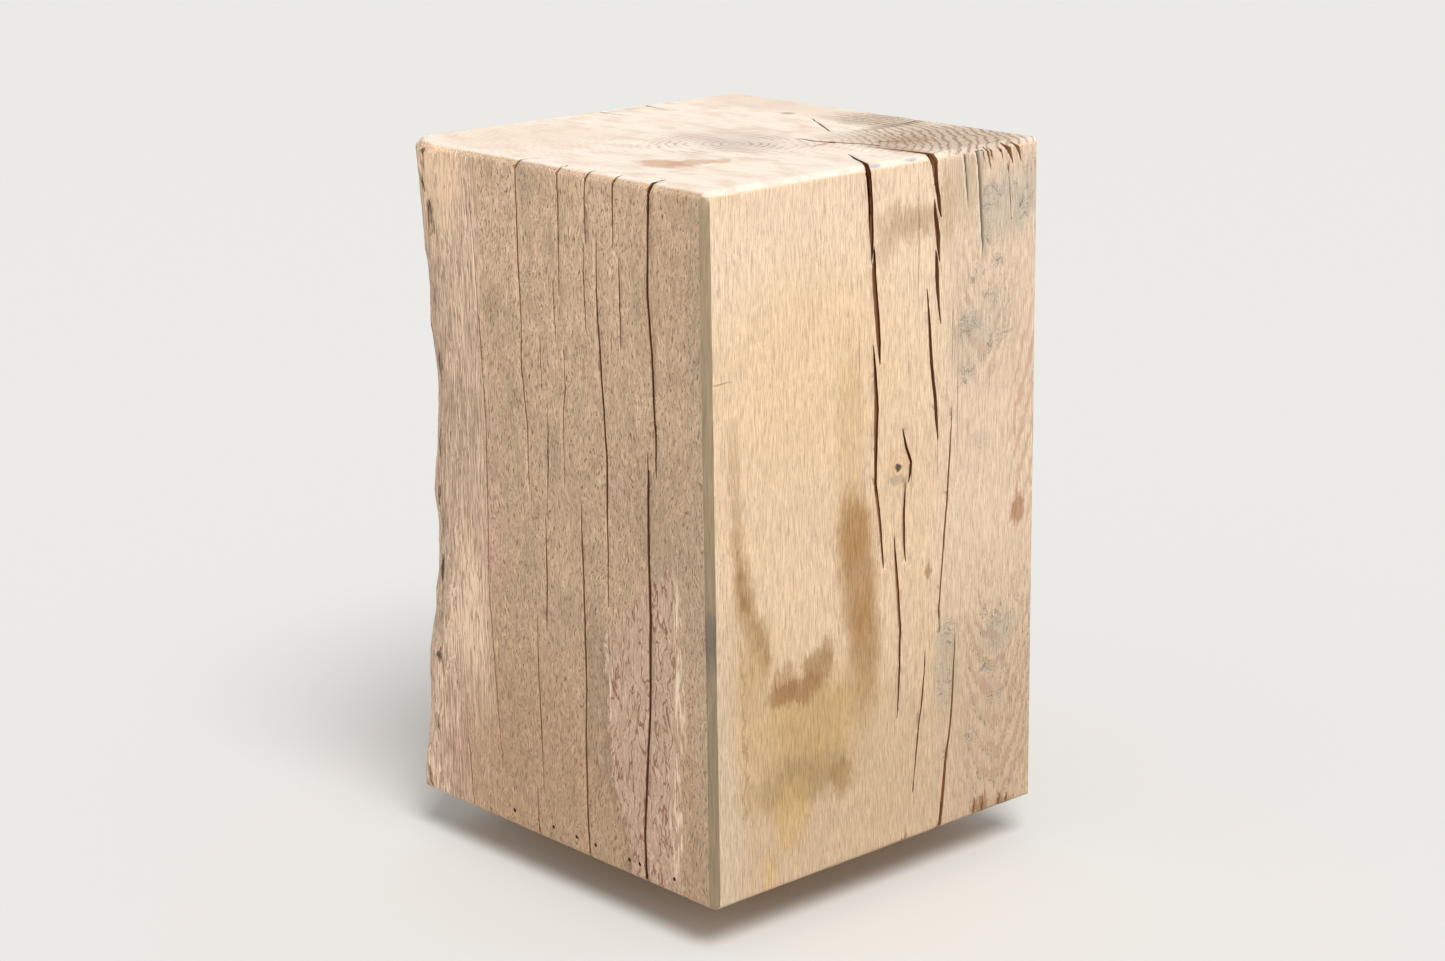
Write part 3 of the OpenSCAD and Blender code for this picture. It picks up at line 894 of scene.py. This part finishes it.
knotty = coats(knotty, [
    # Painted shade: a grey haze over each group of tears, and painted shadow along the tear lines.
    ((186, 176, 160), tear_shade_zone * 0.3),
    ((104, 101, 92), tear_shade_zone * tear_shadow_lines * 0.65),
    # Painted light of the steps: a highlight on each lip, shade in the hollow behind it, and a dark shadow
    # line just past the drop.
    ((252, 230, 202), oak.ease(step_light_and_shade, -0.1, -0.8) * 0.7),
    ((164, 154, 138), oak.ease(step_light_and_shade, 0.1, 0.7) * 0.55),
    ((88, 78, 66), oak.ease(step_light_and_shade, 0.45, 0.75) * 0.8),
])
print("groups of tears:", len(TEAR_GROUPS))

# %% [markdown]
# The knot is a small dark eye over a grey smudge, with faint rings round it that are a little taller than
# wide. The real one seems flush with the face, so it is paint alone and isn't cut into the mesh.

# %% Knot
KNOT = (160.8, 254.5)
KNOT_TALL = 1.2
KNOT_EYE = (3.4, 2.0)
KNOT_SMUDGE = ((159, 247), (7, 3))
KNOT_TURN = 1.5
knot_place = flat(across_knotty + warp * 0.5, height + warp_up * 0.2)
knot_offset = oak.vector("SUBTRACT", knot_place, (*KNOT, 0))
knot_share = oak.vector("DIVIDE", knot_offset, (1, KNOT_TALL, 1))
knot_radius = oak.vector("LENGTH", knot_share, (0, 0, 0), "Value")
knot_rings = crest(knot_radius * KNOT_TURN, 0.2) * oak.ease(knot_radius, 15, 9)
eye_place = flat(across_knotty + warp * 0.6, height + warp_up * 0.3)
knotty = coats(knotty, [
    ((228, 192, 146), oak.ease(knot_radius, 13, 8) * 0.4),
    ((168, 128, 86), knot_rings * 0.2),
    ((160, 150, 136), spot(knot_place, *KNOT_SMUDGE) * 0.5),
    ((66, 54, 50), spot(eye_place, KNOT, KNOT_EYE, 0.4) * 0.9),
])
colour = oak.blend(colour, knotty, on_knotty)
print("knot at", KNOT, "on its face")

# %% [markdown]
# ## The planed strip
# The flat along the front arris was planed after the faces were sanded. It shows as a narrow strip of olive
# grey with a straight grain, darker towards the foot, with one dark smear. A mask by the distance from the
# corner picks out the flat, and saves a second material.

# %% Front strip
FLAT = ARRIS / MM
FLAT_FADE = (FLAT + 1.0, FLAT + 0.5)
to_front_edge = (WIDTH - across_checked) + across_knotty
smear = oak.ease(wavy_height, 205, 182) * oak.ease(wavy_height, 145, 172)
strip = coats(seen(146, 127, 102), [
    ((164, 145, 116), oak.ease(height, 60, 420)),
    ((102, 96, 88), smear * 0.6),
])
strip = oak.lit(strip, 1 + (streaks - 0.5) * 0.8)
colour = oak.blend(colour, strip, oak.ease(to_front_edge, *FLAT_FADE))
print("planed flat in millimetres:", FLAT)

# %% [markdown]
# ## The waney corner
# Here the saw missed the trunk. The last of the bark hangs on in small dark patches, and the wood under it is
# streaked cream and brown. The patches are placed round the corner and up it, and the grain frays them.
# Flakes could be modelled, but so little bark is left that paint shows it as well.

# %% Wane and bark
BARK_PATCHES = [
    ((23, 446), (7, 4)), ((23, 436), (4, 7)), ((18, 424), (3.5, 9)), ((24, 400), (5, 12)),
    ((14, 349), (6, 8)), ((13, 302), (7, 9)), ((10, 247), (6, 12)), ((11, 211), (5, 6)),
    ((18, 191), (6, 10)), ((17, 160), (5, 11)), ((20, 146), (4, 9)), ((21, 99), (4, 7)),
    ((16, 50), (3.5, 9)), ((8, 8), (5, 6)), ((-10, 330), (6, 40)), ((-14, 190), (6, 50)),
]
round_corner = flat(across_checked - across_knotty + warp, wavy_height)
at_corner = oak.ease(across_checked + across_knotty, 62, 48)
fray = (streaks + flecks - 1) * 2.0 + (mottle - 0.5) * 2.4 + (grain(bent, 9, 34) - 0.5) * 2.6
bark = spots(round_corner, BARK_PATCHES, soft=0.8) * 1.3 + fray - 0.35
colour = coats(colour, [
    ((128, 88, 56), at_corner * dark_streaks * 0.2),
    ((128, 101, 76), oak.ease(bark, 0.35, 0.75) * at_corner * 0.8),
    ((80, 62, 46), oak.ease(bark, 0.85, 1.25) * at_corner * 0.9),
])
print("patches of bark:", len(BARK_PATCHES))

# %% [markdown]
# ## The end grain on top
# The saw went across the trunk here. The sanded end grain is paler than the sides, greyish round the pith,
# and browner and dotted with open pores towards the far corner. A shield-shaped brown stain lies near the
# front. The pores are seen end on, so their noise is as long as it is wide.

# %% Stains on the top
TOP_STAINS = [
    ((60, 60), (50, 50), (242, 219, 196), 0.5),
    ((60, 268), (70, 24), (234, 211, 190), 0.6),
    ((170, 145), (48, 34), (226, 207, 190), 0.6),
    ((178, 136), (24, 18), (214, 200, 188), 0.5),
    ((230, 205), (40, 24), (214, 190, 168), 0.5),
    ((258, 245), (50, 50), (198, 170, 143), 0.7),
    ((178, 266), (32, 22), (196, 172, 144), 0.6),
    ((199, 255), (5, 28), (150, 124, 90), 0.5),
    ((250, 220), (12, 18), (176, 140, 104), 0.45),
    ((272, 191), (24, 7), (166, 130, 92), 0.5),
    ((109, 246), (4, 4), (140, 100, 70), 0.6),
]
SHIELD = [
    ((203, 52), (17, 13), (212, 170, 138), 0.75),
    ((214, 66), (9, 16), (208, 166, 134), 0.65),
    ((221, 82), (7, 8), (216, 178, 148), 0.6),
]
end_pores = oak.noise(oak.vector("MULTIPLY", point, (1 / 1.6, 1 / 1.6, 1 / 9)), 2.0, 0.6)
end_clouds = oak.noise(oak.vector("MULTIPLY", point, (1 / 30, 1 / 16, 1 / 30)), 3.0, 0.6)
end_grain = coats(seen(252, 238, 221), [((237, 215, 194), oak.ease(end_clouds, 0.4, 0.72))])
end_grain = stain(end_grain, top_place, TOP_STAINS)
shield_place = flat(across_checked + warp * 2.4, across_knotty + warp_up * 0.7)
end_grain = stain(end_grain, shield_place, SHIELD, soft=0.25)
end_grain = oak.lit(end_grain, 1.03 + (end_pores - 0.5) * 0.5)
print("stains on the top:", len(TOP_STAINS) + len(SHIELD))

# %% [markdown]
# The growth rings show as circles round the pith, strong near it and in the far corner, and faint elsewhere.
# The Wave texture draws rings too, but with a sine of the distance from the pith, the same distance can fade
# them. A slow bend keeps them from looking like a target. Two bluish marks are left on the edge over the
# knotty face.

# %% Rings
PITH = (178, 133)
RING_BEND = 16
RING_SIZE = 45
RING_TURN = 1.1
FAR_CORNER = [((258, 245), (56, 54)), ((178, 266), (40, 22))]
EDGE_MARKS = [((142, 448.6), (5, 1.5)), ((173, 448.6), (5, 1.5))]
ring_run = bend(point, RING_SIZE, RING_SIZE, (RING_BEND, RING_BEND, 0))
ring_x = part(ring_run, "X") + (WIDTH - RING_BEND) / 2 + warp * 0.5
ring_y = part(ring_run, "Y") + (DEPTH - RING_BEND) / 2 + warp * 0.5
from_pith = oak.vector("SUBTRACT", flat(ring_x, ring_y), (*PITH, 0))
ring_distance = oak.vector("LENGTH", from_pith, (0, 0, 0), "Value")
rings = crest(ring_distance * RING_TURN, 0.1)
far_corner = spots(top_place, FAR_CORNER)
near_pith = oak.ease(ring_distance, 80, 15) * oak.ease(end_clouds, 0.36, 0.56)
open_pores = oak.ease(end_pores, 0.52, 0.62) * (0.14 + far_corner * (0.3 + rings * 0.6))
end_grain = coats(end_grain, [
    ((172, 154, 142), rings * (0.08 + near_pith * 0.6 + far_corner * 0.6)),
    ((138, 110, 86), rings * far_corner * 0.3),
    ((132, 106, 86), open_pores),
])
colour = oak.blend(colour, end_grain, on_top)
edge_marks = spots(flat(across_knotty, height), EDGE_MARKS, soft=0.4)
colour = coats(colour, [((150, 160, 186), edge_marks * on_knotty * 0.6)])
print("millimetres from ring to ring:", round(2 * math.pi / RING_TURN, 1))

# %% [markdown]
# ## Checks
# The walls of a check get painted shade, darker the further in they lie. They could be painted by place, but
# the depth attribute follows every check by itself. It turns the colour of the skin to a brown at the lip and
# to a darker one further in. The dust on the floor of a wide check is paler again. The checks in the checked
# face are finer, and their dust is darker.

# %% Colour in the checks
depth = oak.node("ShaderNodeAttribute", {"attribute_name": "depth"}, {}, "Fac")
in_fine = oak.ease(across_knotty, 12, 8)
dust = coats(seen(170, 118, 78), [((122, 78, 52), in_fine)])
# Painted shade: by the depth attribute, the check walls turn brown at the lip and darker further in.
colour = coats(colour, [
    ((140, 94, 58), oak.ease(depth, 0.04, 0.3) * (1 - in_fine * 0.2)),
    ((100, 66, 42), oak.ease(depth, 0.3, 2.0) * (0.6 + in_fine * 0.4)),
])
colour = oak.blend(colour, dust, oak.ease(depth, 2.5, 6.0))
oak.feed(oak.shader.inputs["Base Color"], colour)
print("nodes in the colour:", len(oak.tree.nodes))

# %% [markdown]
# ## Feel
# Bare sanded oak is dull. Its fibres and streaks stand slightly proud, so the same textures that colour it
# also drive the bump, and the pores a little of the roughness. Real displacement would need millions of
# faces for marks this fine.

# %% Bump and roughness
RELIEF = 0.6 * MM
relief = fibres * 0.8 + streaks * 0.6
bump = oak.node("ShaderNodeBump", {}, {"Strength": 0.6, "Distance": RELIEF, "Height": relief}, "Normal")
oak.feed(oak.shader.inputs["Normal"], bump)
oak.feed(oak.shader.inputs["Roughness"], 0.72 + pores * 0.16)
oak.shader.inputs["Specular IOR Level"].default_value = 0.25
print("nodes in the oak finish:", len(oak.tree.nodes))

# %% [markdown]
# ## Floor
# A plain pale floor carries the block's shadow. It is one big square, far wider than the view, so that its
# edge never shows. A curved backdrop would do too, but the view looks down, so a flat floor fills it. The
# floor belongs to the stage and not to the object.

# %% Floor
FLOOR_SIZE = 30.0
floor_shape = bmesh.new()
bmesh.ops.create_grid(floor_shape, x_segments=1, y_segments=1, size=FLOOR_SIZE / 2)
floor_mesh = bpy.data.meshes.new("floor")
floor_shape.to_mesh(floor_mesh)
floor_shape.free()
floor = bpy.data.objects.new("floor", floor_mesh)
bpy.context.scene.collection.objects.link(floor)
floor_finish = Finish("pale_floor")
floor_finish.shader.inputs["Base Color"].default_value = seen(226, 225, 222)
floor_finish.shader.inputs["Roughness"].default_value = 0.9
floor_mesh.materials.append(floor_finish.material)
print("floor in metres:", FLOOR_SIZE)

# %% [markdown]
# ## Light
# A pale sky lights the block from all round, and one soft sun from the upper right gives the faces their
# order: the top brightest, then the knotty face, then the checked one. Lamps near the block would do too,
# but their light would fade across it.

# %% Light
SKY_LEVEL = 0.5
SUN_STRENGTH = 2.3
SUN_SOFTNESS = math.radians(30)
TO_SUN = Vector((0.5, -0.2, 0.8))
sky = bpy.data.worlds.new("soft_sky")
sky.use_nodes = True
sky.node_tree.nodes["Background"].inputs["Color"].default_value = (1, 1, 1, 1)
sky.node_tree.nodes["Background"].inputs["Strength"].default_value = SKY_LEVEL
bpy.context.scene.world = sky
sun_lamp = bpy.data.lights.new("soft_sun", "SUN")
sun_lamp.energy = SUN_STRENGTH
sun_lamp.angle = SUN_SOFTNESS
sun = bpy.data.objects.new("soft_sun", sun_lamp)
sun.rotation_euler = TO_SUN.to_track_quat("Z", "Y").to_euler()
bpy.context.scene.collection.objects.link(sun)
print("sky", SKY_LEVEL, "sun", SUN_STRENGTH)

# %% [markdown]
# ## Camera
# The camera stands where the photo was taken from. Its turn, distance and lens were fitted to the block's
# straight edges in the photo, so that the two pictures can be laid side by side.

# %% Camera
PICTURE_W = 1445
SENSOR_W = 36
FOCAL_PIXELS = 3026.8
AZIMUTH = math.radians(48.273)
ELEVATION = math.radians(15.413)
ROLL = math.radians(-0.827)
DISTANCE = 2.01337
AIM_SHIFT = (0.3 * MM, -5.1 * MM)
back = Vector((math.sin(AZIMUTH) * math.cos(ELEVATION), -math.cos(AZIMUTH) * math.cos(ELEVATION),
               math.sin(ELEVATION)))
level = Vector((math.cos(AZIMUTH), math.sin(AZIMUTH), 0))
upright = back.cross(level)
right = level * math.cos(ROLL) + upright * math.sin(ROLL)
up = upright * math.cos(ROLL) - level * math.sin(ROLL)
eye = Vector((0, 0, FOOT_H + block_h / 2)) + back * DISTANCE + right * AIM_SHIFT[0] + up * AIM_SHIFT[1]
view = bpy.data.cameras.new("photo_view")
view.sensor_fit = "HORIZONTAL"
view.sensor_width = SENSOR_W
view.lens = FOCAL_PIXELS * SENSOR_W / PICTURE_W
camera = bpy.data.objects.new("photo_view", view)
camera.matrix_world = Matrix.Translation(eye) @ Matrix((right, up, back)).transposed().to_4x4()
bpy.context.scene.collection.objects.link(camera)
bpy.context.scene.camera = camera
bpy.context.scene.view_settings.view_transform = "Standard"
print("camera at", [round(c, 3) for c in eye], "lens", round(view.lens, 1))

# %% [markdown]
# ## Update

# %% Update
bpy.context.view_layer.update()
